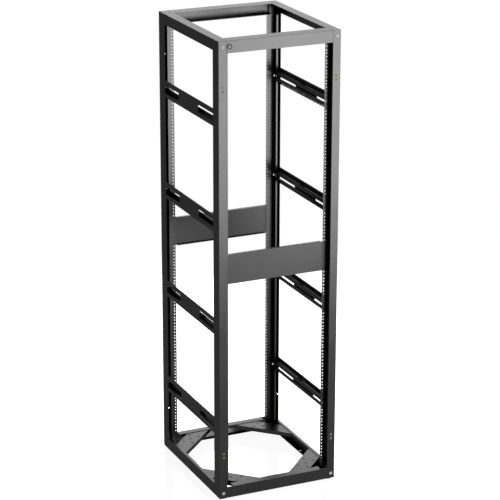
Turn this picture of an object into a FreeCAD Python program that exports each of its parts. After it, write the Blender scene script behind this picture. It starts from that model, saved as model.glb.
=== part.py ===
import FreeCAD, Part
import Sketcher
import math
import os
import re

# Four post open frame rack: folded sheet steel posts, top and bottom members,
# slotted side braces, four rack rails, base gussets, two blank panels and feet.
# Local frame of every handed piece: x runs inward from an outer side face, y runs
# back from the front face, z runs up from the underside of the frame.

doc = FreeCAD.newDocument("open_frame_rack")
sheet = doc.addObject("Spreadsheet::Sheet", "Sizes")

SIZES = (
    ("frame_width", 563.0, "outside width over the posts"),
    ("frame_depth", 651.0, "outside depth over the posts"),
    ("rack_units", 44, "height of the rails in rack units"),
    ("unit_height", 44.45, "one rack unit"),
    ("unit_first_hole", 6.35, "bottom of a unit to its first hole"),
    ("unit_hole_step", 15.875, "first to second and second to third hole"),
    ("panel_width", 482.6, "width of a blank panel"),
    ("ear_overlap", 16.3, "side edge of a panel to the rail's inner edge"),
    ("ear_hole_inset", 8.75, "side edge of a panel to its hole column"),
    ("rack_opening", "=panel_width - 2 * ear_overlap", "clear width between opposite rails"),
    ("rack_hole_span", "=panel_width - 2 * ear_hole_inset", "hole column to hole column"),
    ("sheet_thick", 2.0, "folded sheet of posts, members and braces"),
    ("cut_margin", 1.0, "how far a cut runs past the sheet it opens"),
    ("post_face", 36.5, "width of a post's front flange"),
    ("post_side", 61.0, "depth of a post's outer wall"),
    ("post_return", 12.0, "lip on the inner edge of a post's flange"),
    ("insert_inset", 20.0, "insert hole from the outer side face"),
    ("insert_level", 205.0, "middle of an insert pair from the post's end"),
    ("insert_spacing", 18.5, "between the two insert holes of a pair"),
    ("insert_bore", 7.0, "hole for a threaded insert"),
    ("member_height", 52.5, "front and rear members, top and bottom"),
    ("top_face_depth", 57.0, "upper flange of the top front and rear members"),
    ("top_lower_flange", 47.0, "lower flange of the top front and rear members"),
    ("side_web", 47.0, "height of a top side member's web"),
    ("side_top_width", 44.5, "upper flange of a top side member"),
    ("base_upper_flange", 33.0, "upper flange of the bottom front and rear members"),
    ("base_upper_end", 66.0, "outer side face to the end of that upper flange"),
    ("base_lower_flange", 28.5, "lower flange of the bottom front and rear members"),
    ("side_upper_flange", 14.0, "upper flange of the bottom side members"),
    ("side_lower_flange", 24.0, "lower flange of the bottom side members"),
    ("side_hole", 9.0, "hole halfway along the lower flange of a side member"),
    ("side_hole_inset", 12.5, "that hole from the outer side face"),
    ("brace_height", 76.5, "height of a brace's outer plate"),
    ("brace_spacing", 464.7, "brace to brace, middle to middle"),
    ("window_length", 158.0, "window beside a post"),
    ("window_top", 22.5, "top edge of a brace to its windows"),
    ("window_height", 36.0, "height of a window"),
    ("guide_start", 24.0, "front or rear face to the end of a guide channel"),
    ("guide_notch", 51.0, "length of the notch in the top edge of a guide, halfway along"),
    ("guide_notch_depth", 5.0, "top of a guide to the bottom of its notch"),
    ("guide_depth", 20.0, "outer side face to the inner face of a guide"),
    ("guide_top", 15.0, "top edge of a brace to a guide channel"),
    ("guide_height", 46.0, "height of a guide channel"),
    ("slot_height", 9.0, "height of the slot along a guide channel"),
    ("slot_margin", 14.0, "end of a guide channel to its slot"),
    ("rail_thick", 2.5, "sheet of the rack rails"),
    ("rail_setback_front", 33.3, "front face to the front rails"),
    ("rail_setback_rear", 27.6, "rear face to the rear rails"),
    ("rail_leg", 33.4, "depth of a rail's leg"),
    ("rail_lip", 7.8, "lip on the inner end of a rail's leg"),
    ("rail_notch_gap", 3.0, "lip to a guide channel, above and below"),
    ("rack_bore", 6.0, "round rack hole of unit one"),
    ("rack_hole", 5.3, "across the other rack holes"),
    ("panel_units", 3, "height of a blank panel in rack units"),
    ("panel_first_unit", 21, "units under the blank panels"),
    ("panel_gap", 0.4, "panel edge to the unit line"),
    ("panel_thick", 1.6, "sheet of a blank panel"),
    ("panel_fold", 15.0, "folded edge of a blank panel"),
    ("fold_gap", 5.0, "end of a panel's folded edge to the rail's inner edge"),
    ("panel_fold_width", "=rack_opening - 2 * fold_gap", "length of a folded edge"),
    ("gusset_inner", 140.0, "outer corner to a gusset's near edge, along both sides"),
    ("gusset_outer", 246.0, "outer corner to a gusset's far edge, along both sides"),
    ("gusset_near_fold", 24.0, "depth of a gusset's near edge folded down"),
    ("gusset_far_fold", 17.0, "depth of a gusset's far edge folded down"),
    ("gusset_fold_inset", 17.0, "outer side face to the end of a folded edge"),
    ("gusset_hole", 10.0, "holes through a gusset"),
    ("gusset_pitch_along", 76.5, "hole rectangle along the gusset"),
    ("gusset_pitch_across", 45.5, "hole rectangle across the gusset"),
    ("foot_height", 6.0, "floor to the underside of the frame"),
    ("foot_size", 30.0, "across a levelling foot"),
    ("foot_stud", 10.0, "across a foot's stud"),
    ("foot_stud_length", 24.0, "stud above the foot's pad"),
    ("foot_inset", 24.0, "middle of a foot from both outer faces"),
    ("stud_gap", 0.25, "stud to its hole, all round"),
    ("plug_size", 24.0, "across the round plug's head"),
    ("plug_proud", 1.6, "plug head in front of the member"),
    ("plug_stem", 12.0, "across the plug's stem"),
    ("plug_behind", 3.0, "stem behind the member's web"),
    ("plug_inset", 50.5, "plug from the outer side face"),
    ("plug_drop", 25.0, "top of the frame to the plug"),
    ("plug_gap", 0.2, "plug stem to its hole, all round"),
)
for row, (alias, number, meaning) in enumerate(SIZES, start=1):
    sheet.set(f"A{row}", alias)
    sheet.set(f"B{row}", str(number))
    sheet.set(f"C{row}", meaning)
    sheet.setAlias(f"B{row}", alias)
doc.recompute()

# Lengths that follow from the sheet, as expressions.
FRAME_HEIGHT = "(rack_units * unit_height + 2 * member_height)"
BRACE_LENGTH = "(frame_depth - 2 * post_side)"
RAIL_FACE = "((frame_width - rack_opening) / 2 - guide_depth)"
PANEL_HEIGHT = "(panel_units * unit_height - 2 * panel_gap)"
# The root of two: a length across a slanting edge, measured along x or y.
SLANT = f"{math.sqrt(2):.8f}"


def bound(expression):
    """The expression with each alias read from the sheet."""
    return re.sub(r"[a-z_]{3,}", r"Sizes.\g<0>", str(expression))


def value(expression):
    return float(sheet.evalExpression(bound(expression)))


def bind(item, name, expression):
    item.setExpression(name, bound(expression))


def new_body(label):
    body = doc.addObject("PartDesign::Body", label)
    body.Label = label
    return body


def plane_of(body, role):
    return next(item for item in body.Origin.OriginFeatures if item.Role == role)


def sketch_on(body, role, offset="0"):
    """An empty sketch on one of the body's own planes, moved along its normal."""
    sketch = body.newObject("Sketcher::SketchObject", "sketch")
    sketch.AttachmentSupport = [(plane_of(body, role), "")]
    sketch.MapMode = "FlatFace"
    bind(sketch, "AttachmentOffset.Base.z", offset)
    return sketch


def outline(body, role, points, offset="0"):
    """A closed sketch of straight lines through points, each an (x, y) pair of expressions."""
    sketch = sketch_on(body, role, offset)
    add_loop(sketch, points)
    return sketch


def add_loop(sketch, points):
    places = [FreeCAD.Vector(value(x), value(y), 0) for x, y in points]
    first = sketch.GeometryCount
    count = len(places)
    for index in range(count):
        line = Part.LineSegment(places[index], places[(index + 1) % count])
        sketch.addGeometry(line, False)
    for index in range(count):
        after = first + (index + 1) % count
        sketch.addConstraint(Sketcher.Constraint("Coincident", first + index, 2, after, 1))
    for index, (x, y) in enumerate(points):
        fix(sketch, "DistanceX", -2, first + index, 1, x)
        fix(sketch, "DistanceY", -1, first + index, 1, y)


def fix(sketch, kind, axis, geometry, end, expression):
    """Holds a point on an axis, or at a bound distance from it."""
    if value(expression) == 0:
        sketch.addConstraint(Sketcher.Constraint("PointOnObject", geometry, end, axis))
        return
    distance = Sketcher.Constraint(kind, -1, 1, geometry, end, value(expression))
    number = sketch.addConstraint(distance)
    sketch.setExpression(f"Constraints[{number}]", bound(expression))


def add_circle(sketch, x, y, diameter):
    centre = FreeCAD.Vector(value(x), value(y), 0)
    circle = Part.Circle(centre, FreeCAD.Vector(0, 0, 1), value(diameter) / 2)
    number = sketch.addGeometry(circle, False)
    fix(sketch, "DistanceX", -2, number, 3, x)
    fix(sketch, "DistanceY", -1, number, 3, y)
    size = sketch.addConstraint(Sketcher.Constraint("Diameter", number, value(diameter)))
    sketch.setExpression(f"Constraints[{size}]", bound(diameter))


def rectangle(x0, y0, x1, y1):
    return [(x0, y0), (x1, y0), (x1, y1), (x0, y1)]


def pad(body, sketch, length, reverse=False):
    feature = body.newObject("PartDesign::Pad", "pad")
    feature.Profile = sketch
    bind(feature, "Length", length)
    feature.Reversed = reverse
    sketch.Visibility = False
    body.Tip = feature
    return feature


def pocket(body, sketch, length, reverse=False):
    """Cuts a sketch into the body and makes sure that it took something away."""
    doc.recompute()
    before = body.Shape.Volume
    feature = body.newObject("PartDesign::Pocket", "pocket")
    feature.Profile = sketch
    bind(feature, "Length", length)
    feature.Reversed = reverse
    body.Tip = feature
    doc.recompute()
    if body.Shape.Volume > before - 1e-3:
        raise RuntimeError(f"{body.Label}: a pocket cuts nothing")
    return feature


# Where a piece designed at the front left corner goes for the other places: a half
# turn about one axis, or a quarter turn about z, and the point that its origin moves to.
HALF_X = "frame_width / 2"
HALF_Y = "frame_depth / 2"
TURNS = {
    "as_drawn": ((0, 0, 1), 0, f"-{HALF_X}", f"-{HALF_Y}", "foot_height"),
    "about_z": ((0, 0, 1), 180, HALF_X, HALF_Y, "foot_height"),
    "about_x": ((1, 0, 0), 180, f"-{HALF_X}", HALF_Y, f"foot_height + {FRAME_HEIGHT}"),
    "about_y": ((0, 1, 0), 180, HALF_X, f"-{HALF_Y}", f"foot_height + {FRAME_HEIGHT}"),
    "quarter_right": ((0, 0, 1), 90, HALF_X, f"-{HALF_Y}", "foot_height"),
    "quarter_left": ((0, 0, 1), 270, f"-{HALF_X}", HALF_Y, "foot_height"),
}


def place(item, turn):
    axis, angle, x, y, z = TURNS[turn]
    item.Placement = FreeCAD.Placement(
        FreeCAD.Vector(value(x), value(y), value(z)),
        FreeCAD.Rotation(FreeCAD.Vector(*axis), angle),
    )
    bind(item, "Placement.Base.x", x)
    bind(item, "Placement.Base.y", y)
    bind(item, "Placement.Base.z", z)
    return item


def make_post(label, turn, foot_at_start):
    """Outer wall, front flange with a return lip and a cap on each end."""
    body = new_body(label)
    section = [
        ("0", "0"),
        ("post_face", "0"),
        ("post_face", "post_return"),
        ("post_face - sheet_thick", "post_return"),
        ("post_face - sheet_thick", "sheet_thick"),
        ("sheet_thick", "sheet_thick"),
        ("sheet_thick", "post_side"),
        ("0", "post_side"),
    ]
    pad(body, outline(body, "XY_Plane", section), FRAME_HEIGHT)
    cap = rectangle("0", "0", "post_face", "post_side")
    pad(body, outline(body, "XY_Plane", cap), "sheet_thick")
    top = f"{FRAME_HEIGHT} - sheet_thick"
    pad(body, outline(body, "XY_Plane", cap, top), "sheet_thick")
    inserts = sketch_on(body, "XZ_Plane")
    for level in ("insert_level", f"{FRAME_HEIGHT} - insert_level"):
        for side in ("-", "+"):
            add_flats(inserts, "insert_inset", f"{level} {side} insert_spacing / 2", "insert_bore")
    pocket(body, inserts, "sheet_thick", reverse=False)
    stud_hole = sketch_on(body, "XY_Plane", "0" if foot_at_start else top)
    add_circle(stud_hole, "foot_inset", "foot_inset", "foot_stud + 2 * stud_gap")
    pocket(body, stud_hole, "sheet_thick", reverse=True)
    return place(body, turn)


def add_flats(sketch, x, z, size):
    """A small square hole about (x, z), lighter than a round one."""
    half = f"{size} / 2"
    corners = rectangle(f"{x} - {half}", f"{z} - {half}", f"{x} + {half}", f"{z} + {half}")
    add_loop(sketch, corners)


def make_top_cross_member(label, turn, plugged):
    """Front or rear: a channel open to the inside between two posts."""
    body = new_body(label)
    low = f"{FRAME_HEIGHT} - member_height"
    top = FRAME_HEIGHT
    section = [
        ("0", low),
        ("top_lower_flange", low),
        ("top_lower_flange", f"{low} + sheet_thick"),
        ("sheet_thick", f"{low} + sheet_thick"),
        ("sheet_thick", f"{top} - sheet_thick"),
        ("top_face_depth", f"{top} - sheet_thick"),
        ("top_face_depth", top),
        ("0", top),
    ]
    sketch = outline(body, "YZ_Plane", section, "post_face")
    pad(body, sketch, "frame_width - 2 * post_face")
    if plugged:
        plug_hole = sketch_on(body, "XZ_Plane")
        add_circle(plug_hole, "plug_inset", f"{top} - plug_drop", "plug_stem + 2 * plug_gap")
        pocket(body, plug_hole, "sheet_thick")
    return place(body, turn)


def make_top_side_member(label, turn):
    """A web flush with the posts, and an upper flange that fills the corners of the ring."""
    body = new_body(label)
    far = "frame_depth"
    flange = [
        ("0", "post_side"),
        ("post_face", "post_side"),
        ("post_face", "top_face_depth"),
        ("side_top_width", "top_face_depth"),
        ("side_top_width", f"{far} - top_face_depth"),
        ("post_face", f"{far} - top_face_depth"),
        ("post_face", f"{far} - post_side"),
        ("0", f"{far} - post_side"),
    ]
    top = f"{FRAME_HEIGHT} - sheet_thick"
    pad(body, outline(body, "XY_Plane", flange, top), "sheet_thick")
    web = rectangle("0", "post_side", "sheet_thick", f"{far} - post_side")
    low = f"{FRAME_HEIGHT} - side_web"
    pad(body, outline(body, "XY_Plane", web, low), "side_web - sheet_thick")
    return place(body, turn)


def make_base_cross_member(label, turn):
    """Front or rear: a channel whose upper flange stops short of both posts."""
    body = new_body(label)
    section = [
        ("0", "0"),
        ("base_lower_flange", "0"),
        ("base_lower_flange", "sheet_thick"),
        ("sheet_thick", "sheet_thick"),
        ("sheet_thick", "member_height"),
        ("0", "member_height"),
    ]
    sketch = outline(body, "YZ_Plane", section, "post_face")
    pad(body, sketch, "frame_width - 2 * post_face")
    right = "frame_width - base_upper_end"
    upper = rectangle("base_upper_end", "sheet_thick", right, "base_upper_flange")
    pad(body, outline(body, "XY_Plane", upper, "member_height - sheet_thick"), "sheet_thick")
    return place(body, turn)


def make_base_side_member(label, turn):
    """A channel between two posts, with one hole in its lower flange."""
    body = new_body(label)
    section = [
        ("0", "0"),
        ("side_lower_flange", "0"),
        ("side_lower_flange", "sheet_thick"),
        ("sheet_thick", "sheet_thick"),
        ("sheet_thick", "member_height - sheet_thick"),
        ("side_upper_flange", "member_height - sheet_thick"),
        ("side_upper_flange", "member_height"),
        ("0", "member_height"),
    ]
    sketch = outline(body, "XZ_Plane", section, "-post_side")
    pad(body, sketch, BRACE_LENGTH, reverse=True)
    hole = sketch_on(body, "XY_Plane")
    add_circle(hole, "side_hole_inset", HALF_Y, "side_hole")
    pocket(body, hole, "sheet_thick", reverse=True)
    return place(body, turn)


def brace_bottom(index):
    """Height of the lower edge of brace 0 to 3, counted from the floor up."""
    middle = f"{FRAME_HEIGHT} / 2"
    return f"{middle} + ({index} - 1.5) * brace_spacing - brace_height / 2"


def guide_edges(index):
    upper = f"{brace_bottom(index)} + brace_height - guide_top"
    return f"{upper} - guide_height", upper


def make_brace(label, turn, index):
    """An outer plate open beside both posts, and a slotted channel behind it."""
    body = new_body(label)
    near, far = "post_side", "frame_depth - post_side"
    low = brace_bottom(index)
    top = f"{low} + brace_height"
    sill = f"{top} - window_top - window_height"
    head = f"{top} - window_top"
    plate = [
        (near, low),
        (far, low),
        (far, sill),
        (f"{far} - window_length", sill),
        (f"{far} - window_length", head),
        (far, head),
        (far, top),
        (near, top),
        (near, head),
        (f"{near} + window_length", head),
        (f"{near} + window_length", sill),
        (near, sill),
    ]
    pad(body, outline(body, "YZ_Plane", plate), "sheet_thick")
    under, over = guide_edges(index)
    channel = [
        ("sheet_thick", under),
        ("guide_depth", under),
        ("guide_depth", over),
        ("sheet_thick", over),
        ("sheet_thick", f"{over} - sheet_thick"),
        ("guide_depth - sheet_thick", f"{over} - sheet_thick"),
        ("guide_depth - sheet_thick", f"{under} + sheet_thick"),
        ("sheet_thick", f"{under} + sheet_thick"),
    ]
    sketch = outline(body, "XZ_Plane", channel, "-guide_start")
    pad(body, sketch, "frame_depth - 2 * guide_start", reverse=True)
    slot_low = f"{under} + guide_height / 2 - slot_height / 2"
    slot = rectangle(
        "guide_start + slot_margin",
        slot_low,
        "frame_depth - guide_start - slot_margin",
        f"{slot_low} + slot_height",
    )
    inner_face = outline(body, "YZ_Plane", slot, "guide_depth - sheet_thick")
    pocket(body, inner_face, "sheet_thick", reverse=True)
    notch = rectangle(
        f"{HALF_Y} - guide_notch / 2",
        f"{over} - guide_notch_depth",
        f"{HALF_Y} + guide_notch / 2",
        f"{over} + cut_margin",
    )
    upper_edge = outline(body, "YZ_Plane", notch, "sheet_thick")
    pocket(body, upper_edge, "guide_depth - sheet_thick", reverse=True)
    return place(body, turn)


def make_rail(label, turn, setback, at_back):
    """Flange with the rack holes, a leg against the guides and a lip notched round them."""
    body = new_body(label)
    flange_back = f"{setback} + rail_thick"
    leg_end = f"{setback} + rail_leg"
    leg_inner = "guide_depth + rail_thick"
    lip_edge = f"{leg_inner} - rail_lip"
    section = [
        ("guide_depth", setback),
        (f"guide_depth + {RAIL_FACE}", setback),
        (f"guide_depth + {RAIL_FACE}", flange_back),
        (leg_inner, flange_back),
        (leg_inner, leg_end),
        (lip_edge, leg_end),
        (lip_edge, f"{leg_end} - rail_thick"),
        ("guide_depth", f"{leg_end} - rail_thick"),
    ]
    face = "0"
    if at_back:
        section = [(x, f"frame_depth - ({y})") for x, y in section]
        face = "-frame_depth"
    sketch = outline(body, "XY_Plane", section, "member_height")
    pad(body, sketch, "rack_units * unit_height")
    notches = sketch_on(body, "XZ_Plane", face)
    for index in range(4):
        under, over = guide_edges(index)
        low, high = f"{under} - rail_notch_gap", f"{over} + rail_notch_gap"
        add_loop(notches, rectangle(f"{lip_edge} - cut_margin", low, "guide_depth", high))
    pocket(body, notches, f"{leg_end} + cut_margin", reverse=at_back)
    add_rack_holes(body, face, f"{flange_back} + cut_margin", at_back)
    return place(body, turn)


def add_rack_holes(body, face, reach, at_back):
    column = "(frame_width - rack_hole_span) / 2"
    first = "member_height + unit_first_hole"
    levels = [first, f"{first} + unit_hole_step", f"{first} + 2 * unit_hole_step"]
    unit_one = sketch_on(body, "XZ_Plane", face)
    add_circle(unit_one, column, levels[0], "rack_bore")
    add_flats(unit_one, column, levels[1], "rack_hole")
    add_circle(unit_one, column, levels[2], "rack_bore")
    pocket(body, unit_one, reach, reverse=at_back)
    unit_two = sketch_on(body, "XZ_Plane", face)
    for level in levels:
        add_flats(unit_two, column, f"{level} + unit_height", "rack_hole")
    holes = pocket(body, unit_two, reach, reverse=at_back)
    pattern = body.newObject("PartDesign::LinearPattern", "units")
    pattern.Originals = [holes]
    pattern.Direction = (unit_two, ["V_Axis"])
    bind(pattern, "Length", "(rack_units - 2) * unit_height")
    bind(pattern, "Occurrences", "rack_units - 1")
    holes.Visibility = False
    body.Tip = pattern


def make_panel(label, turn, face):
    """A blank three unit panel with its upper and lower edge folded towards the inside."""
    body = new_body(label)
    left = "(frame_width - panel_width) / 2"
    low = "member_height + panel_first_unit * unit_height + panel_gap"
    top = f"{low} + {PANEL_HEIGHT}"
    plate = rectangle(left, low, f"{left} + panel_width", top)
    sketch = outline(body, "XZ_Plane", plate, f"-({face})")
    column = "(frame_width - rack_hole_span) / 2"
    low_hole = "unit_first_hole + 2 * unit_hole_step - panel_gap"
    high_hole = "(panel_units - 1) * unit_height + unit_first_hole - panel_gap"
    for side in (column, f"frame_width - {column}"):
        for level in (low_hole, high_hole):
            add_flats(sketch, side, f"{low} + {level}", "rack_hole")
    pad(body, sketch, "panel_thick", reverse=True)
    fold_left = "(frame_width - panel_fold_width) / 2"
    fold_right = f"{fold_left} + panel_fold_width"
    for edge in (low, f"{top} - panel_thick"):
        fold = rectangle(fold_left, f"({face}) + panel_thick", fold_right, f"({face}) + panel_fold")
        pad(body, outline(body, "XY_Plane", fold, edge), "panel_thick")
    return place(body, turn)


def make_gusset(label, turn):
    """A plate across a base corner, with its two slanting edges folded down."""
    body = new_body(label)
    under = "member_height - 2 * sheet_thick"
    wall = "sheet_thick"
    plate = [
        (wall, f"gusset_inner - {wall}"),
        (f"gusset_inner - {wall}", wall),
        (f"gusset_outer - {wall}", wall),
        (wall, f"gusset_outer - {wall}"),
    ]
    sketch = outline(body, "XY_Plane", plate, under)
    middle = "(gusset_inner + gusset_outer) / 4"
    along = f"gusset_pitch_along / 2 / {SLANT}"
    across = f"gusset_pitch_across / 2 / {SLANT}"
    for sign_a, sign_b in (("+", "+"), ("+", "-"), ("-", "+"), ("-", "-")):
        opposite = "-" if sign_a == "+" else "+"
        x = f"{middle} {sign_a} {along} {sign_b} {across}"
        y = f"{middle} {opposite} {along} {sign_b} {across}"
        add_flats(sketch, x, y, "gusset_hole")
    add_circle(sketch, middle, middle, "gusset_hole")
    pad(body, sketch, "sheet_thick")
    inset = "gusset_fold_inset"
    skew = f"sheet_thick * {SLANT}"
    far_edge = f"gusset_outer - {skew}"
    for edge, depth in (("gusset_inner", "gusset_near_fold"), (far_edge, "gusset_far_fold")):
        fold = [
            (inset, f"{edge} - {inset}"),
            (f"{edge} - {inset}", inset),
            (f"{edge} + {skew} - {inset}", inset),
            (inset, f"{edge} + {skew} - {inset}"),
        ]
        pad(body, outline(body, "XY_Plane", fold, under), depth, reverse=True)
    return place(body, turn)


def polygon(size, sides):
    """Corners of a regular polygon about the origin, size from corner to corner."""
    angles = [2 * math.pi * (index + 0.5) / sides for index in range(sides)]
    return [
        (f"{size} * {math.cos(angle) / 2:.6f}", f"{size} * {math.sin(angle) / 2:.6f}")
        for angle in angles
    ]


def make_foot(label, x, y):
    """A levelling foot: a many-sided pad and the stud that passes up through the post's cap."""
    body = new_body(label)
    pad(body, outline(body, "XY_Plane", polygon("foot_size", 24)), "foot_height")
    stud = outline(body, "XY_Plane", polygon("foot_stud", 12), "foot_height")
    pad(body, stud, "foot_stud_length")
    bind(body, "Placement.Base.x", x)
    bind(body, "Placement.Base.y", y)
    return body


def make_plug(label):
    """A plain round plug in the front member: a low head and a stem through the web."""
    body = new_body(label)
    head = "(sheet_thick + plug_behind)"
    pad(body, outline(body, "XY_Plane", polygon("plug_stem", 16)), head)
    pad(body, outline(body, "XY_Plane", polygon("plug_size", 32), head), "plug_proud")
    x = f"plug_inset - {HALF_X}"
    y = f"{head} - {HALF_Y}"
    z = f"foot_height + {FRAME_HEIGHT} - plug_drop"
    body.Placement = FreeCAD.Placement(
        FreeCAD.Vector(value(x), value(y), value(z)),
        FreeCAD.Rotation(FreeCAD.Vector(1, 0, 0), 90),
    )
    bind(body, "Placement.Base.x", x)
    bind(body, "Placement.Base.y", y)
    bind(body, "Placement.Base.z", z)
    return body


pieces = [
    make_post("front_left_post", "as_drawn", True),
    make_post("rear_right_post", "about_z", True),
    make_post("rear_left_post", "about_x", False),
    make_post("front_right_post", "about_y", False),
    make_top_cross_member("top_front_member", "as_drawn", True),
    make_top_cross_member("top_rear_member", "about_z", False),
    make_top_side_member("top_left_member", "as_drawn"),
    make_top_side_member("top_right_member", "about_z"),
    make_base_cross_member("base_front_member", "as_drawn"),
    make_base_cross_member("base_rear_member", "about_z"),
    make_base_side_member("base_left_member", "as_drawn"),
    make_base_side_member("base_right_member", "about_z"),
    make_gusset("front_left_gusset", "as_drawn"),
    make_gusset("front_right_gusset", "quarter_right"),
    make_gusset("rear_right_gusset", "about_z"),
    make_gusset("rear_left_gusset", "quarter_left"),
    make_rail("front_left_rail", "as_drawn", "rail_setback_front", False),
    make_rail("front_right_rail", "about_z", "rail_setback_front", True),
    make_rail("rear_left_rail", "as_drawn", "rail_setback_rear", True),
    make_rail("rear_right_rail", "about_z", "rail_setback_rear", False),
    make_panel("front_panel", "as_drawn", "rail_setback_front + rail_thick"),
    make_panel("rear_panel", "about_z", "rail_setback_rear - panel_thick"),
    make_plug("round_plug"),
]
for index in range(4):
    pieces.append(make_brace(f"left_brace_{index + 1}", "as_drawn", index))
    pieces.append(make_brace(f"right_brace_{index + 1}", "about_z", index))

foot_x = f"{HALF_X} - foot_inset"
foot_y = f"{HALF_Y} - foot_inset"
pieces += [
    make_foot("front_left_foot", f"-({foot_x})", f"-({foot_y})"),
    make_foot("front_right_foot", foot_x, f"-({foot_y})"),
    make_foot("rear_left_foot", f"-({foot_x})", foot_y),
    make_foot("rear_right_foot", foot_x, foot_y),
]

doc.recompute()
for item in doc.Objects:
    if "Invalid" in item.State or "Error" in item.State:
        raise RuntimeError(f"{item.Label}: {item.State}")
os.makedirs("parts", exist_ok=True)
for body in pieces:
    shape = body.Shape
    if shape.isNull() or not shape.isValid() or len(shape.Solids) != 1:
        raise RuntimeError(f"{body.Label}: not one valid solid")
for body in pieces:
    body.Shape.exportStep(f"parts/{body.Label}.step")
print(f"{len(pieces)} pieces written")
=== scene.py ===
# %% [markdown]
# # A four post open frame rack, dressed from its measured model
# The measured model brings every sheet metal piece at its real size. This lesson adds
# what a press, a fitter and a paint shop add: rounded folds, fasteners, threaded inserts
# and finishes. Lengths are in metres and the model's frame is kept: x to the right, y to
# the back, z up, with the floor at zero.

# %% Load the measured model
import math

import bmesh
import bpy
import numpy as np
from mathutils import Matrix, Vector


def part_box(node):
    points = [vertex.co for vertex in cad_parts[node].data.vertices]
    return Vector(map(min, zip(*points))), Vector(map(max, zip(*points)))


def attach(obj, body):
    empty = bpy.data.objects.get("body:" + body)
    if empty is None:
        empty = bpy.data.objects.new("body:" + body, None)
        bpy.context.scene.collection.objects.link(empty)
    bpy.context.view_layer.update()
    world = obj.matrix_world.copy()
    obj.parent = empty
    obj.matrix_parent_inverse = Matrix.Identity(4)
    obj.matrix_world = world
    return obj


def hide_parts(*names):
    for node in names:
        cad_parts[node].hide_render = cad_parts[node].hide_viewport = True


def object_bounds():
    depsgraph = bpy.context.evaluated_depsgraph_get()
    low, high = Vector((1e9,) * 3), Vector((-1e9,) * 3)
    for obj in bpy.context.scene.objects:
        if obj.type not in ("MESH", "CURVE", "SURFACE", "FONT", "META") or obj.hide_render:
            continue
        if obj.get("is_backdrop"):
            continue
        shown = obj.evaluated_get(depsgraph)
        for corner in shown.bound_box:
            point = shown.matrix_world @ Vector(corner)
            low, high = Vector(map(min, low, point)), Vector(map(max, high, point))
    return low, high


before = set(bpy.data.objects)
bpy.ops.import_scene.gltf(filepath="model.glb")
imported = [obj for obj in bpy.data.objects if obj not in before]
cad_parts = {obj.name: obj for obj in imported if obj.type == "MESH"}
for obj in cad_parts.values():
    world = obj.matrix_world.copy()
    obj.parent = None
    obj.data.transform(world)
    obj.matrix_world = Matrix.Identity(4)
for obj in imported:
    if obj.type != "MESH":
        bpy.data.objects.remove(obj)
MODEL_LOW, MODEL_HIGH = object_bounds()
MM = 0.001
print("pieces in the measured model:", len(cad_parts))

# %% [markdown]
# ## Where things sit
# Every added piece takes its place from the box of a measured piece, so the dressing
# follows the model. The rack is the same at its four corners, so most places are worked
# out once and repeated for each end and each side.

# %% Name the corners and read the boxes
SIDES = ("left", "right")
ENDS = ("front", "rear")
CORNERS = [(end, side) for end in ENDS for side in SIDES]


def inward(side):
    """+1 where the inside of the rack lies towards +x, on the left, and -1 on the right."""
    return 1 if side == "left" else -1


def backward(end):
    """+1 where the inside of the rack lies towards +y, at the front, and -1 at the rear."""
    return 1 if end == "front" else -1


def outer_x(side):
    """The outer face of a side, which the posts share."""
    return MODEL_LOW.x if side == "left" else MODEL_HIGH.x


POST_LOW, POST_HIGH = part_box("front_left_post")
REAR_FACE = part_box("rear_left_post")[1].y
print("post, millimetres:", [round(c / MM, 1) for c in POST_HIGH - POST_LOW])

# %% [markdown]
# ## Surfaces on a grid
# A small turned or pressed part is a grid of points: one direction runs along its
# profile and the other runs round its axis. The ready-made cylinder would need cutting
# and joining, while the grid takes any profile and is worked out in one numpy
# expression. The faces are the squares between neighbouring rows and columns.


# %% A grid of points becomes faces
def grid_faces(rows, columns):
    """Quads (i, j), (i, j+1), (i+1, j+1), (i+1, j) of a grid that closes along j."""
    i, j = np.meshgrid(np.arange(rows - 1), np.arange(columns), indexing="ij")
    after = (j + 1) % columns
    corners = [i * columns + j, i * columns + after, (i + 1) * columns + after]
    corners.append((i + 1) * columns + j)
    return np.stack(corners, axis=-1).reshape(-1, 4)


def turned_grid(profile, radius_at=None, sides=24):
    """Points (r cos a, r sin a, h): a profile of (r, h) turned about z.

    radius_at gives, for each angle, the widest radius allowed, so that a profile can
    be cut to a hexagon.
    """
    angle = np.arange(sides) * 2 * math.pi / sides
    r = np.repeat(np.array(profile)[:, :1], sides, axis=1)
    h = np.repeat(np.array(profile)[:, 1:], sides, axis=1)
    if radius_at is not None:
        r = np.minimum(r, radius_at(angle)[None, :])
    return np.stack([r * np.cos(angle), r * np.sin(angle), h], axis=-1)


def hexagon(across_flats):
    """The radius of a hexagon at angle a: half the flats over cos(a - nearest flat)."""
    def radius_at(angle):
        sector = math.pi / 3
        return across_flats / 2 / np.cos((angle + sector / 2) % sector - sector / 2)
    return radius_at


print("faces of a tube with three rows and eight sides:", len(grid_faces(3, 8)))


# %% [markdown]
# ## One mesh for many like parts
# A rack has dozens of like screws and nuts. Each is worked out once about z, then turned
# to its axis and moved to its place with one matrix product, and all of a kind are one
# mesh. Where a profile meets its axis the points lie on one spot, so they are merged.


# %% Copies of one grid at many places
def along(axis):
    """A turn that carries +z to the given axis."""
    turn = Vector((0, 0, 1)).rotation_difference(Vector(axis)).to_matrix()
    return np.array(turn)


def repeated(name, grids, places):
    """One mesh that holds every grid once at each (centre, axis) of places."""
    points, faces, start = [], [], 0
    for centre, axis in places:
        turn = along(axis)
        for grid in grids:
            rows, columns = grid.shape[:2]
            points.append(grid.reshape(-1, 3) @ turn.T + np.array(centre))
            faces.append(grid_faces(rows, columns) + start)
            start += rows * columns
    return mesh_object(name, np.concatenate(points), np.concatenate(faces))


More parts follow.
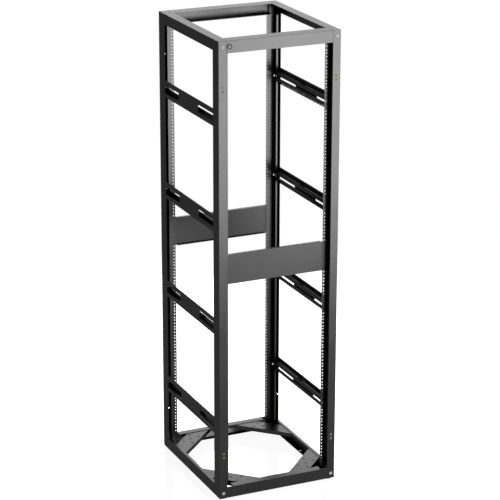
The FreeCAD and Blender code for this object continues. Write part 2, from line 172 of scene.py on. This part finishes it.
def mesh_object(name, points, faces):
    """An object at the origin whose mesh holds the points where they belong."""
    mesh = bpy.data.meshes.new(name)
    mesh.from_pydata(points.tolist(), [], faces.tolist())
    closed_poles(mesh)
    item = bpy.data.objects.new(name, mesh)
    bpy.context.scene.collection.objects.link(item)
    print(f"{name}: {len(mesh.polygons)} faces")
    return item


def closed_poles(mesh):
    """Merges the points that meet at a pole and turns every face outwards."""
    work = bmesh.new()
    work.from_mesh(mesh)
    bmesh.ops.remove_doubles(work, verts=work.verts, dist=1e-6)
    bmesh.ops.dissolve_degenerate(work, edges=work.edges, dist=1e-7)
    bmesh.ops.recalc_face_normals(work, faces=work.faces)
    work.to_mesh(mesh)
    work.free()


# %% Smooth turns and sharp edges
def smooth_by_angle(item, degrees=35):
    """Shades gentle turns smooth and keeps every edge sharper than the angle."""
    mesh = item.data
    mesh.shade_smooth()
    mesh.set_sharp_from_angle(angle=math.radians(degrees))


# %% [markdown]
# ## Finishes
# A finish is a shader whose colour, roughness and bump follow noise. An image could
# carry them too, but it would need unwrapping and show seams. The noise reads Object
# coordinates, so it stays fixed to the piece. The helpers here name each socket once,
# and the finishes below only choose numbers.


# %% A shader with named sockets
def finish(name, colour, roughness, metallic=0.0, edge_tint=None, specular=0.5):
    """A material with one shader; edge_tint holds back its reflection at a glance."""
    material = bpy.data.materials.new(name)
    material.use_nodes = True
    nodes = material.node_tree.nodes
    nodes.clear()
    shader = nodes.new("ShaderNodeBsdfPrincipled")
    output = nodes.new("ShaderNodeOutputMaterial")
    material.node_tree.links.new(shader.outputs["BSDF"], output.inputs["Surface"])
    shader.inputs["Base Color"].default_value = (*colour, 1)
    shader.inputs["Roughness"].default_value = roughness
    shader.inputs["Metallic"].default_value = metallic
    shader.inputs["Specular IOR Level"].default_value = specular
    if edge_tint is not None:
        shader.inputs["Specular Tint"].default_value = (edge_tint, edge_tint, edge_tint, 1)
    return material, shader


# %% Noise, a stretch, a blend and a bump
def noise(material, scale, detail=2.0):
    """Fractal noise of a size given in waves per metre, fixed to the piece."""
    nodes, links = material.node_tree.nodes, material.node_tree.links
    place = nodes.new("ShaderNodeTexCoord")
    texture = nodes.new("ShaderNodeTexNoise")
    texture.inputs["Scale"].default_value = scale
    texture.inputs["Detail"].default_value = detail
    links.new(place.outputs["Object"], texture.inputs["Vector"])
    return texture.outputs["Fac"]


def mapped(material, factor, low, high):
    """The factor from 0 to 1 stretched between two numbers."""
    nodes, links = material.node_tree.nodes, material.node_tree.links
    stretch = nodes.new("ShaderNodeMapRange")
    stretch.inputs["To Min"].default_value = low
    stretch.inputs["To Max"].default_value = high
    links.new(factor, stretch.inputs["Value"])
    return stretch.outputs["Result"]


def blended(material, factor, first, second):
    """A colour between two, chosen by the factor."""
    nodes, links = material.node_tree.nodes, material.node_tree.links
    ramp = nodes.new("ShaderNodeValToRGB")
    ramp.color_ramp.elements[0].position = 0.3
    ramp.color_ramp.elements[0].color = (*first, 1)
    ramp.color_ramp.elements[1].position = 0.7
    ramp.color_ramp.elements[1].color = (*second, 1)
    links.new(factor, ramp.inputs["Fac"])
    return ramp.outputs["Color"]


def bumped(material, shader, height, strength, distance):
    """Raises the surface along the height by up to the distance, in metres."""
    nodes, links = material.node_tree.nodes, material.node_tree.links
    bump = nodes.new("ShaderNodeBump")
    bump.inputs["Strength"].default_value = strength
    bump.inputs["Distance"].default_value = distance
    links.new(height, bump.inputs["Height"])
    links.new(bump.outputs["Normal"], shader.inputs["Normal"])


# %% [markdown]
# ## Powder coat
# The frame is powder coated steel: nearly black, with a fine even texture that keeps a
# soft sheen. Powder coat scatters light at a glancing view instead of turning into a
# mirror, so its reflectance is held almost level over the angle. The paint varies a
# little over a hand's width and carries its grain as bump.

# %% Powder coat for the frame, the rails and the panels
PAINT_CLOUDS = 6.0
PAINT_GRAINS = 900.0
PAINT_GRAIN_HEIGHT = 0.2 * MM


def powder_coat(name, dark, light, roughness):
    """Fine textured paint: grains about a millimetre wide over slow cloudy variation."""
    material, shader = finish(name, light, roughness, metallic=1.0, edge_tint=0.5)
    links = material.node_tree.links
    cloud = noise(material, PAINT_CLOUDS, 4.0)
    links.new(blended(material, cloud, dark, light), shader.inputs["Base Color"])
    grain = noise(material, PAINT_GRAINS, 3.0)
    links.new(
        mapped(material, cloud, roughness - 0.03, roughness + 0.03),
        shader.inputs["Roughness"],
    )
    bumped(material, shader, grain, 0.12, PAINT_GRAIN_HEIGHT)
    return material


FRAME_PAINT = powder_coat("frame_powder_coat", (0.022,) * 3, (0.026,) * 3, 0.33)
RAIL_PAINT = powder_coat("rail_powder_coat", (0.022,) * 3, (0.026,) * 3, 0.33)
PANEL_PAINT = powder_coat("panel_powder_coat", (0.018,) * 3, (0.021,) * 3, 0.36)
print("paints:", [paint.name for paint in (FRAME_PAINT, RAIL_PAINT, PANEL_PAINT)])

# %% [markdown]
# ## Plating, black oxide and a painted shade
# Fasteners are zinc plated. A clear film leaves the zinc bright, so it is a metal in the
# shader. A thick dull or yellow film hides the zinc, so it is given as a plain colour.
# The panel screws are black oxide, and the near black ring round the plug is painted shade
# of a groove round the plug's face.

# %% Plated steel and the plug ring's painted shade
PLATING_CLOUDS = 260.0
PLATING_GRAINS = 2600.0
PLATING_GRAIN_HEIGHT = 0.05 * MM


def plated(name, dark, light, roughness, metallic=1.0):
    """Steel under a film whose colour and roughness vary in small clouds."""
    material, shader = finish(name, light, roughness, metallic=metallic)
    links = material.node_tree.links
    cloud = noise(material, PLATING_CLOUDS, 3.0)
    links.new(blended(material, cloud, dark, light), shader.inputs["Base Color"])
    links.new(
        mapped(material, cloud, roughness - 0.06, roughness + 0.08),
        shader.inputs["Roughness"],
    )
    bumped(material, shader, noise(material, PLATING_GRAINS), 0.1, PLATING_GRAIN_HEIGHT)
    return material


DULL_ZINC = plated("dull_zinc", (0.15, 0.16, 0.158), (0.19, 0.20, 0.198), 0.6, 0.0)
BRIGHT_ZINC = plated("bright_zinc", (0.90, 0.91, 0.91), (0.96, 0.97, 0.97), 0.24)
YELLOW_ZINC = plated("yellow_zinc", (0.055, 0.056, 0.031), (0.085, 0.086, 0.052), 0.7, 0.0)
FOOT_ZINC = plated("foot_zinc", (0.10, 0.107, 0.105), (0.15, 0.16, 0.157), 0.5)
BLACK_OXIDE = plated("black_oxide", (0.02, 0.02, 0.022), (0.03, 0.03, 0.032), 0.4)
# Near black painted shade: the ring on the plug stands for the shaded groove round its
# face.
RIM_SHADE_PAINT, _ = finish("painted_rim_shade", (0.006, 0.006, 0.006), 0.9, specular=0.05)
print("finishes so far:", len(bpy.data.materials))

# %% [markdown]
# ## Paint the measured pieces
# Each measured piece names its finish, as the record of the model does. The plug is
# painted with the frame, and the feet are plated steel.

# %% Paint every measured piece
SLOT_FINISH = {
    "frame_paint": FRAME_PAINT,
    "rail_paint": RAIL_PAINT,
    "panel_paint": PANEL_PAINT,
    "plug_finish": FRAME_PAINT,
    "foot_steel": FOOT_ZINC,
}


def finish_of(node):
    """The finish that a measured piece's name asks for."""
    if "rail" in node:
        return "rail_paint"
    if "panel" in node:
        return "panel_paint"
    if "plug" in node:
        return "plug_finish"
    if "foot" in node:
        return "foot_steel"
    return "frame_paint"


for node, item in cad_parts.items():
    item.data.materials.clear()
    item.data.materials.append(SLOT_FINISH[finish_of(node)])
print("finishes given to", len(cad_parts), "pieces")

# %% [markdown]
# ## Rounded folds
# Sheet is folded over a radius, and the outside of each fold catches another part of
# the room than the two faces beside it, so it reads as a fine dark line. A fold is told
# from a cut edge by the faces beside it: both flaps of a fold are wide, and a cut edge
# has only the sheet's thickness on one side.

# %% Find the folds of a piece
LEAST_FLAP = 6 * MM
LEAST_LENGTH = 20 * MM
ANGLE_SLACK = 0.1


def reach(face, edge):
    """The greatest distance of a face's corners from the line of one of its edges."""
    start = edge.verts[0].co
    line = (edge.verts[1].co - start).normalized()
    return max((corner.co - start).cross(line).length for corner in face.verts)


def is_outer_fold(edge):
    """A convex right angle between two flaps, so not the cut edge of the sheet."""
    if not edge.is_manifold or edge.calc_length() < LEAST_LENGTH:
        return False
    if abs(edge.calc_face_angle_signed() - math.pi / 2) > ANGLE_SLACK:
        return False
    return all(reach(face, edge) > LEAST_FLAP for face in edge.link_faces)


# %% [markdown]
# ## Copies with round folds
# The measured meshes are loose triangles and stay as they are. A bevel on them would
# round every cut edge too, so a copy is merged, its flat triangles are joined into whole
# faces, and a bevel with a round profile turns only the outer folds into arcs. The top
# front and rear members are folded over a wider radius.

# %% Round the folds of a copy
FOLD_RADIUS = 4.5 * MM
WIDE_FOLD_RADIUS = 6.2 * MM
WIDELY_FOLDED = ("top_front_member", "top_rear_member")
FOLD_STEPS = 4


def with_rounded_folds(node):
    """A merged copy whose outer folds follow an arc of the bend radius."""
    work = bmesh.new()
    work.from_mesh(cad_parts[node].data)
    bmesh.ops.remove_doubles(work, verts=work.verts, dist=1e-5)
    bmesh.ops.dissolve_limit(
        work, angle_limit=math.radians(1), verts=work.verts, edges=work.edges
    )
    folds = [edge for edge in work.edges if is_outer_fold(edge)]
    radius = WIDE_FOLD_RADIUS if node in WIDELY_FOLDED else FOLD_RADIUS
    bmesh.ops.bevel(
        work, geom=folds, offset=radius, segments=FOLD_STEPS, profile=0.5,
        affect="EDGES", clamp_overlap=True,
    )
    mesh = bpy.data.meshes.new(f"{node}_folded")
    work.to_mesh(mesh)
    work.free()
    item = bpy.data.objects.new(mesh.name, mesh)
    bpy.context.scene.collection.objects.link(item)
    smooth_by_angle(item, 30)
    even = item.modifiers.new("flat_faces_keep_their_normals", "WEIGHTED_NORMAL")
    even.keep_sharp = True
    print(f"{node}: {len(folds)} folds, {len(mesh.polygons)} faces")
    return item


# %% Put the folded copies in place of the sharp pieces
BRACES = (1, 2, 3, 4)
folded_nodes = [f"{end}_{side}_post" for end, side in CORNERS]
for ring in ("top", "base"):
    folded_nodes += [f"{ring}_{place}_member" for place in ENDS + SIDES]
folded_nodes += [f"{side}_brace_{number}" for side in SIDES for number in BRACES]
for node in folded_nodes:
    item = with_rounded_folds(node)
    item.data.materials.append(FRAME_PAINT)
    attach(item, "root")
    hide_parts(node)

# %% [markdown]
# ## The round plug
# The plug closes a hole in the top front member. A thin near black ring lies on its head,
# set in from the rim: painted shade of a groove round the plug's face. A torus would give
# a round cord, and this ring is flat, so it is a profile of four corners turned once.

# %% A ring of painted shade on the plug
RING_OUTER = 10.9 * MM
RING_INNER = 8.0 * MM
RING_PROUD = 0.4 * MM


def flat_band(inner, outer, height):
    """A band between two radii, from z = -height to z = +height."""
    corners = [(inner, -height), (outer, -height), (outer, height), (inner, height)]
    return [turned_grid(corners + corners[:1], sides=48)]


plug_low, plug_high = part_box("round_plug")
plug_centre = (plug_low + plug_high) / 2
# The ring is painted shade of the groove round the plug's face, coloured near black.
rim_shade_ring = repeated(
    "plug_rim_shade",
    flat_band(RING_INNER, RING_OUTER, RING_PROUD),
    [((plug_centre.x, plug_low.y, plug_centre.z), (0, -1, 0))],
)
smooth_by_angle(rim_shade_ring)
rim_shade_ring.data.materials.append(RIM_SHADE_PAINT)
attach(rim_shade_ring, "root")

# %% [markdown]
# ## Corner screws
# Low button head screws join the posts to the top and the base: one near each end of
# every post, on its front or rear face. The head is a profile turned about its axis. The
# socket could be cut in with a boolean, but here the rows of the same grid go on inward,
# held within a hexagon, and so the mesh stays closed.

# %% Corner screws on the posts
HEAD_RADIUS = 7.2 * MM
HEAD_HEIGHT = 3.4 * MM
SOCKET_FLATS = 5.0 * MM
SOCKET_DEPTH = 2.4 * MM
SCREW_INSET = 18.0 * MM
SCREW_FROM_END = 24.0 * MM
CROWN_FALL = 0.45


def button_head(radius, height, socket_flats, socket_depth):
    """A crown whose height falls with the square of the radius, and a hexagonal socket."""
    lip = socket_flats / 2 * 1.2
    r = np.linspace(radius, lip, 8)
    crown = height * (1 - CROWN_FALL * ((r - lip) / (radius - lip)) ** 2)
    outside = [(0, 0), (radius, 0)] + list(zip(r, crown))
    bottom = height - socket_depth
    socket = [(lip, height), (lip, bottom), (0, bottom)]
    parts = [turned_grid(outside), turned_grid(socket, hexagon(socket_flats))]
    return [np.concatenate(parts)]


corner_places = []
for end, side in CORNERS:
    face = POST_LOW.y if end == "front" else REAR_FACE
    x = outer_x(side) + inward(side) * SCREW_INSET
    for z in (POST_LOW.z + SCREW_FROM_END, POST_HIGH.z - SCREW_FROM_END):
        corner_places.append(((x, face, z), (0, -backward(end), 0)))
corner_screws = repeated(
    "corner_screws",
    button_head(HEAD_RADIUS, HEAD_HEIGHT, SOCKET_FLATS, SOCKET_DEPTH),
    corner_places,
)
smooth_by_angle(corner_screws)
corner_screws.data.materials.append(DULL_ZINC)
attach(corner_screws, "root")

# %% [markdown]
# ## Threaded inserts
# Pairs of rivet nuts sit in the posts' front and rear faces, for doors. Each is a thin
# collar and a sleeve that reaches into the post, so the hole shows a dark threaded bore.
# A real thread is a helix. At this size a zigzag down the profile looks the same and
# keeps the nut to one turned grid.

# %% Rivet nuts in the posts
COLLAR_RADIUS = 5.2 * MM
COLLAR_HEIGHT = 0.8 * MM
BORE_RADIUS = 2.4 * MM
SLEEVE_RADIUS = 3.4 * MM
SLEEVE_LENGTH = 11.0 * MM
THREAD_PITCH = 0.8 * MM
THREAD_DEPTH = 0.25 * MM
COLLAR_CHAMFER = 0.4 * MM
INSERT_INSET = 20.0 * MM
INSERT_FROM_END = 205.0 * MM
INSERT_SPACING = 18.5 * MM


def rivet_nut():
    """A collar, a threaded bore and a sleeve as one closed turned profile."""
    depth = np.arange(0, SLEEVE_LENGTH, THREAD_PITCH / 2)
    crest = np.arange(len(depth)) % 2
    radii = BORE_RADIUS + THREAD_DEPTH * crest
    bore = list(zip(radii, COLLAR_HEIGHT - depth))
    tail = COLLAR_HEIGHT - SLEEVE_LENGTH
    profile = bore + [
        (BORE_RADIUS, tail),
        (SLEEVE_RADIUS, tail),
        (SLEEVE_RADIUS, 0),
        (COLLAR_RADIUS, 0),
        (COLLAR_RADIUS, COLLAR_HEIGHT * 0.6),
        (COLLAR_RADIUS - COLLAR_CHAMFER, COLLAR_HEIGHT),
        (BORE_RADIUS, COLLAR_HEIGHT),
    ]
    return [turned_grid(profile, sides=20)]


insert_places = []
for end, side in CORNERS:
    face = POST_LOW.y if end == "front" else REAR_FACE
    x = outer_x(side) + inward(side) * INSERT_INSET
    for middle in (POST_LOW.z + INSERT_FROM_END, POST_HIGH.z - INSERT_FROM_END):
        for step in (-0.5, 0.5):
            z = middle + step * INSERT_SPACING
            insert_places.append(((x, face, z), (0, -backward(end), 0)))
inserts = repeated("threaded_inserts", rivet_nut(), insert_places)
smooth_by_angle(inserts)
inserts.data.materials.append(YELLOW_ZINC)
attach(inserts, "root")

# %% [markdown]
# ## Inserts in the base gussets
# Each gusset's five holes carry a blind threaded insert, painted with the frame: a flat
# collar on the plate and a closed sleeve below it, for casters or floor anchors. The
# holes lie in a rectangle turned by half a right angle, with one hole in its middle, so
# their places are counted along and across the gusset and then turned into x and y.

# %% Blind inserts in the gussets
BLIND_COLLAR = 7.4 * MM
BLIND_COLLAR_HEIGHT = 0.6 * MM
BLIND_END = 1.5 * MM
BLIND_BORE = 3.6 * MM
BLIND_SLEEVE = 4.7 * MM
BLIND_DEPTH = 16.0 * MM
PITCH_ALONG = 76.5 * MM
PITCH_ACROSS = 45.5 * MM
GUSSET_MIDDLE = 96.5 * MM


def blind_insert():
    """A collar on the plate, a bore with a closed end and the sleeve round it."""
    collar = BLIND_COLLAR_HEIGHT
    bottom = -BLIND_DEPTH + BLIND_END
    profile = [
        (0, bottom),
        (BLIND_BORE, bottom),
        (BLIND_BORE, collar),
        (BLIND_COLLAR - collar, collar),
        (BLIND_COLLAR, 0),
        (BLIND_SLEEVE, 0),
        (BLIND_SLEEVE, -BLIND_DEPTH),
        (0, -BLIND_DEPTH),
    ]
    return [turned_grid(profile, sides=24)]


gusset_places = []
for end, side in CORNERS:
    inwards = Vector((inward(side), backward(end), 0))
    across = inwards.normalized()
    lengthwise = Vector((-across.y, across.x, 0))
    edge_y = POST_LOW.y if end == "front" else REAR_FACE
    middle = Vector((outer_x(side), edge_y, 0)) + inwards * GUSSET_MIDDLE
    middle.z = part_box(f"{end}_{side}_gusset")[1].z
    for a, b in ((0, 0), (1, 1), (1, -1), (-1, 1), (-1, -1)):
        shift = lengthwise * (a * PITCH_ALONG / 2) + across * (b * PITCH_ACROSS / 2)
        gusset_places.append((tuple(middle + shift), (0, 0, 1)))
blind_inserts = repeated("gusset_inserts", blind_insert(), gusset_places)
smooth_by_angle(blind_inserts)
blind_inserts.data.materials.append(FRAME_PAINT)
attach(blind_inserts, "root")

# %% [markdown]
# ## Bolts through the slotted guides
# Each rack rail is clamped to every brace by a bolt with a domed head: the head lies on
# the inner face of the rail's leg and the threaded end passes the guide's slot, where a
# hexagon nut holds it. A squashed ball would do for the dome, but an arc in the profile
# gives it its short straight rim as well.

# %% Rail bolts
DOME_RADIUS = 6.2 * MM
DOME_HEIGHT = 5.4 * MM
NUT_FLATS = 10.0 * MM
NUT_HEIGHT = 5.0 * MM
NUT_BELOW_HEAD = 4.5 * MM
BOLT_RADIUS = 3.0 * MM
BOLT_REACH = 13.0 * MM
BOLT_PITCH = 1.0 * MM
BOLT_THREAD_DEPTH = 0.3 * MM
BOLT_CONE = 0.6 * MM
RAIL_SHEET = 2.5 * MM
SLOT_BELOW_TOP = 38.0 * MM
LEG_MIDDLE = 17.5 * MM


def domed_head(radius, height):
    """A short rim and above it the arc of a circle, h = rim + rise sin a at r cos a."""
    rim = height * 0.25
    angle = np.linspace(0, math.pi / 2, 9)
    arc = [(radius * math.cos(a), rim + (height - rim) * math.sin(a)) for a in angle]
    return [turned_grid([(0, 0), (radius, 0)] + arc)]


# %% Nuts and threads
def hexagon_nut(flats, height, top):
    """A hexagon from top downwards whose corners are cut back at both faces."""
    corner = flats / 2 / math.cos(math.pi / 6)
    face = flats / 2 * 0.95
    bevel = height * 0.15
    profile = [
        (0, top),
        (face, top),
        (corner, top - bevel),
        (corner, top - height + bevel),
        (face, top - height),
        (0, top - height),
    ]
    return [turned_grid(profile, hexagon(flats))]


def threaded_rod(radius, length):
    """A thread as ridges down a rod, ending in a cone."""
    depth = np.arange(0, length, BOLT_PITCH / 2)
    ridge = radius - BOLT_THREAD_DEPTH * (np.arange(len(depth)) % 2)
    end = -length - BOLT_CONE
    rod = [(0, 0)] + list(zip(ridge, -depth)) + [(radius * 0.7, end), (0, end)]
    return [turned_grid(rod, sides=16)]


# %% Place the rail bolts
bolt_places = []
for end, side in CORNERS:
    low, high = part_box(f"{end}_{side}_rail")
    leg_end = high.y if end == "front" else low.y
    y = leg_end - backward(end) * LEG_MIDDLE
    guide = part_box(f"{side}_brace_1")
    guide_face = guide[1].x if side == "left" else guide[0].x
    x = guide_face + inward(side) * RAIL_SHEET
    for number in BRACES:
        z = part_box(f"{side}_brace_{number}")[1].z - SLOT_BELOW_TOP
        bolt_places.append(((x, y, z), (inward(side), 0, 0)))
rail_bolts = repeated(
    "rail_bolts",
    domed_head(DOME_RADIUS, DOME_HEIGHT)
    + threaded_rod(BOLT_RADIUS, BOLT_REACH)
    + hexagon_nut(NUT_FLATS, NUT_HEIGHT, -NUT_BELOW_HEAD),
    bolt_places,
)
smooth_by_angle(rail_bolts, 25)
rail_bolts.data.materials.append(BRIGHT_ZINC)
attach(rail_bolts, "root")

# %% [markdown]
# ## Nuts in the posts' side walls
# Near each end of a post a hexagon nut is set on the inside of the side wall, close to
# the wall's free edge, and takes the screw of a side panel. One nut lies nearer to its
# end. Posts at opposite corners are the same piece, and the other two are that piece
# turned over, so the two distances change places. The nut is the one made above.

# %% Side wall nuts
POST_SHEET = 2.0 * MM
SIDE_NUT_FLATS = 8.0 * MM
SIDE_NUT_HEIGHT = 5.0 * MM
SIDE_NUT_FROM_EDGE = 9.0 * MM
SIDE_NUT_NEAR = 180.0 * MM
SIDE_NUT_FAR = 205.0 * MM

side_nut_places = []
for end, side in CORNERS:
    low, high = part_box(f"{end}_{side}_post")
    free_edge = high.y if end == "front" else low.y
    y = free_edge - backward(end) * SIDE_NUT_FROM_EDGE
    x = outer_x(side) + inward(side) * POST_SHEET
    below, above = SIDE_NUT_FAR, SIDE_NUT_NEAR
    if (end, side) in (("front", "left"), ("rear", "right")):
        below, above = above, below
    for z in (low.z + below, high.z - above):
        side_nut_places.append(((x, y, z), (inward(side), 0, 0)))
side_nuts = repeated(
    "side_wall_nuts",
    hexagon_nut(SIDE_NUT_FLATS, SIDE_NUT_HEIGHT, SIDE_NUT_HEIGHT),
    side_nut_places,
)
smooth_by_angle(side_nuts, 25)
side_nuts.data.materials.append(BRIGHT_ZINC)
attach(side_nuts, "root")

# %% [markdown]
# ## Panel screws
# Four pan head screws hold each blank panel to the rails: two in the lowest unit that
# it covers and two in the highest. The head is flat on top, and a quarter of a circle
# rounds its rim.

# %% Screws of the blank panels
HOLE_SPAN = 465.1 * MM
UNIT = 44.45 * MM
FIRST_HOLE = 6.35 * MM
HOLE_STEP = 15.875 * MM
PAN_RADIUS = 4.4 * MM
PAN_HEIGHT = 2.4 * MM
PAN_RIM = 0.45
PAN_WALL = 0.35


def pan_head(radius, height):
    """A flat topped head with a quarter round rim: r falls and h rises with the angle."""
    angle = np.linspace(0, math.pi / 2, 7)
    r = radius * (1 - PAN_RIM + PAN_RIM * np.cos(angle))
    h = height * (PAN_WALL + (1 - PAN_WALL) * np.sin(angle))
    return [turned_grid([(0, 0), (radius, 0)] + list(zip(r, h)) + [(0, height)])]


panel_places = []
for end in ENDS:
    low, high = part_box(f"{end}_panel")
    rail_low, rail_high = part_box(f"{end}_left_rail")
    face = rail_low.y if end == "front" else rail_high.y
    first = low.z + FIRST_HOLE + 2 * HOLE_STEP
    last = high.z - UNIT + FIRST_HOLE
    for x in (-HOLE_SPAN / 2, HOLE_SPAN / 2):
        for z in (first, last):
            panel_places.append(((x, face, z), (0, -backward(end), 0)))
panel_screws = repeated("panel_screws", pan_head(PAN_RADIUS, PAN_HEIGHT), panel_places)
smooth_by_angle(panel_screws)
panel_screws.data.materials.append(BLACK_OXIDE)
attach(panel_screws, "root")

# %% [markdown]
# ## Studio
# The rack stands in a plain bright room. What lights it and what is seen behind it are
# kept apart: the surrounding light is gentle, while the background is white to the
# camera, in a gloss and through glass, and adds no light of its own.


# %% The surrounding light
def seen_directly(tree):
    """1 for rays from the camera, from a gloss or through glass, and 0 for all others."""
    path = tree.nodes.new("ShaderNodeLightPath")
    total = None
    for kind in ("Is Camera Ray", "Is Glossy Ray", "Is Transmission Ray"):
        if total is None:
            total = path.outputs[kind]
            continue
        most = tree.nodes.new("ShaderNodeMath")
        most.operation = "MAXIMUM"
        tree.links.new(total, most.inputs[0])
        tree.links.new(path.outputs[kind], most.inputs[1])
        total = most.outputs[0]
    return total


SURROUND = 0.35

world = bpy.data.worlds.new("studio")
bpy.context.scene.world = world
world.use_nodes = True
tree = world.node_tree
tree.nodes.clear()
plain = tree.nodes.new("ShaderNodeBackground")
plain.inputs["Color"].default_value = (1, 1, 1, 1)
plain.inputs["Strength"].default_value = SURROUND
white = tree.nodes.new("ShaderNodeBackground")
white.inputs["Color"].default_value = (1, 1, 1, 1)
white.inputs["Strength"].default_value = 1.0
either = tree.nodes.new("ShaderNodeMixShader")
out = tree.nodes.new("ShaderNodeOutputWorld")
tree.links.new(seen_directly(tree), either.inputs["Fac"])
tree.links.new(plain.outputs[0], either.inputs[1])
tree.links.new(white.outputs[0], either.inputs[2])
tree.links.new(either.outputs[0], out.inputs["Surface"])
print("surrounding light:", SURROUND)

# %% [markdown]
# ## Floor
# The floor is a flat disc. Most of what is seen of it glows an even white, and the rest
# is real floor, which keeps the rack's shadow and a faint polish. The polish is for the
# camera alone, so that the floor sends no second image of the lights into the frame.

# %% The floor's disc
FLOOR_RADIUS = 14.0


def floor_disc(name, radius, rings=24, sides=96):
    """Points (r cos a, r sin a, 0), with r growing as the square so the middle is fine."""
    r = radius * np.linspace(0, 1, rings) ** 2
    profile = np.stack([r, np.zeros(rings)], axis=1)
    grid = turned_grid(profile, sides=sides)
    return mesh_object(name, grid.reshape(-1, 3), grid_faces(rings, sides))


floor = floor_disc("studio_floor", FLOOR_RADIUS)

# %% The floor's finish
FLOOR_KEEP = 0.13
FLOOR_GLOW = 1.055
FLOOR_POLISH = 0.5

floor_finish = bpy.data.materials.new("pale_floor")
floor_finish.use_nodes = True
tree = floor_finish.node_tree
tree.nodes.clear()
matt = tree.nodes.new("ShaderNodeBsdfDiffuse")
matt.inputs["Color"].default_value = (0.9, 0.9, 0.9, 1)
glow = tree.nodes.new("ShaderNodeEmission")
glow.inputs["Color"].default_value = (1, 1, 1, 1)
glow.inputs["Strength"].default_value = FLOOR_GLOW
sheen = tree.nodes.new("ShaderNodeBsdfAnisotropic")
sheen.inputs["Color"].default_value = (1, 1, 1, 1)
sheen.inputs["Roughness"].default_value = 0.04
polished = tree.nodes.new("ShaderNodeMixShader")
path = tree.nodes.new("ShaderNodeLightPath")
shown = tree.nodes.new("ShaderNodeMath")
shown.operation = "MULTIPLY"
shown.inputs[1].default_value = FLOOR_POLISH
tree.links.new(path.outputs["Is Camera Ray"], shown.inputs[0])
tree.links.new(shown.outputs[0], polished.inputs["Fac"])
tree.links.new(matt.outputs[0], polished.inputs[1])
tree.links.new(sheen.outputs[0], polished.inputs[2])
share = tree.nodes.new("ShaderNodeMath")
share.operation = "MULTIPLY"
share.inputs[1].default_value = 1 - FLOOR_KEEP
mix = tree.nodes.new("ShaderNodeMixShader")
out = tree.nodes.new("ShaderNodeOutputMaterial")
tree.links.new(seen_directly(tree), share.inputs[0])
tree.links.new(share.outputs[0], mix.inputs["Fac"])
tree.links.new(polished.outputs[0], mix.inputs[1])
tree.links.new(glow.outputs[0], mix.inputs[2])
tree.links.new(mix.outputs[0], out.inputs["Surface"])
floor.data.materials.append(floor_finish)
floor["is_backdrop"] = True
print("share of real floor in the picture:", FLOOR_KEEP)

# %% [markdown]
# ## Lights
# Dark satin paint shows mostly what it reflects. A tall soft light stands where the
# front faces mirror it to the camera, so they are bright towards the top and darken
# towards the floor. Two more stand behind the rack: a high one for the upper faces, and
# one below the frame's top for the gussets and the base.


# %% Soft lights
def soft_light(name, place, target, width, height, radiance):
    """A rectangular light: its power is radiance times area times pi."""
    lamp = bpy.data.lights.new(name, "AREA")
    lamp.shape = "RECTANGLE"
    lamp.size = width
    lamp.size_y = height
    lamp.energy = radiance * width * height * math.pi
    item = bpy.data.objects.new(name, lamp)
    bpy.context.scene.collection.objects.link(item)
    item.location = place
    aim = Vector(target) - Vector(place)
    item.rotation_euler = aim.to_track_quat("-Z", "Y").to_euler()
    item.visible_camera = False


# %% Place the lights
VIEW_YAW = math.radians(24.47)
TOP = MODEL_HIGH.z
level = Vector((math.sin(VIEW_YAW), math.cos(VIEW_YAW), 0))
mirrored_front = Vector((level.x, -level.y, 0))

KEY_DISTANCE = 3.5
KEY_WIDTH = 1.6
KEY_HEIGHT = 3.0
KEY_MIDDLE = 1.6
KEY_RADIANCE = 19.0
place = mirrored_front * KEY_DISTANCE + Vector((0, 0, KEY_MIDDLE))
soft_light("key_light", place, (0, 0, KEY_MIDDLE), KEY_WIDTH, KEY_HEIGHT, KEY_RADIANCE)

BACK_DISTANCE = 3.0
BACK_WIDTH = 1.8
for name, bottom, top, radiance in (
    ("upper_back_light", TOP, TOP + 1.45, 4.6),
    ("lower_back_light", 0.15, TOP - 0.05, 11.0),
):
    place = level * BACK_DISTANCE + Vector((0, 0, (bottom + top) / 2))
    soft_light(name, place, (0, 0, place.z), BACK_WIDTH, top - bottom, radiance)

# %% [markdown]
# ## Camera
# A long lens far away keeps the uprights nearly parallel. Its axes are written out:
# forward from the yaw and the pitch, right level with the floor, and a touch of roll.

# %% Camera
CAMERA_PLACE = (-3.6565, -8.058, 4.016)
LENS = 151.41
SENSOR = 36.0
VIEW_PITCH = math.radians(18.66)
VIEW_ROLL = math.radians(0.10)


def camera_axes(yaw, pitch, roll):
    """Columns right, up and back of a camera with the given turns."""
    forward = Vector(
        (
            math.sin(yaw) * math.cos(pitch),
            math.cos(yaw) * math.cos(pitch),
            -math.sin(pitch),
        )
    )
    right = Vector((math.cos(yaw), -math.sin(yaw), 0))
    up = right.cross(forward)
    right, up = (
        right * math.cos(roll) + up * math.sin(roll),
        up * math.cos(roll) - right * math.sin(roll),
    )
    return Matrix((right, up, -forward)).transposed()


lens = bpy.data.cameras.new("camera")
lens.lens = LENS
lens.sensor_width = SENSOR
lens.clip_end = 60.0
camera = bpy.data.objects.new("camera", lens)
bpy.context.scene.collection.objects.link(camera)
turn = camera_axes(VIEW_YAW, VIEW_PITCH, VIEW_ROLL).to_4x4()
camera.matrix_world = Matrix.Translation(CAMERA_PLACE) @ turn
bpy.context.scene.camera = camera
bpy.context.scene.view_settings.view_transform = "Standard"
print("field of view, degrees:", round(math.degrees(lens.angle), 2))

# %% [markdown]
# ## The size of the dressed rack
# The dressed rack may stand past the measured model only by the heads of its screws.
# Both boxes are written down so that they can be compared.

# %% Print both sizes
low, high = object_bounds()
print("measured box", [round(v, 4) for v in MODEL_HIGH - MODEL_LOW])
print("dressed box ", [round(v, 4) for v in high - low])
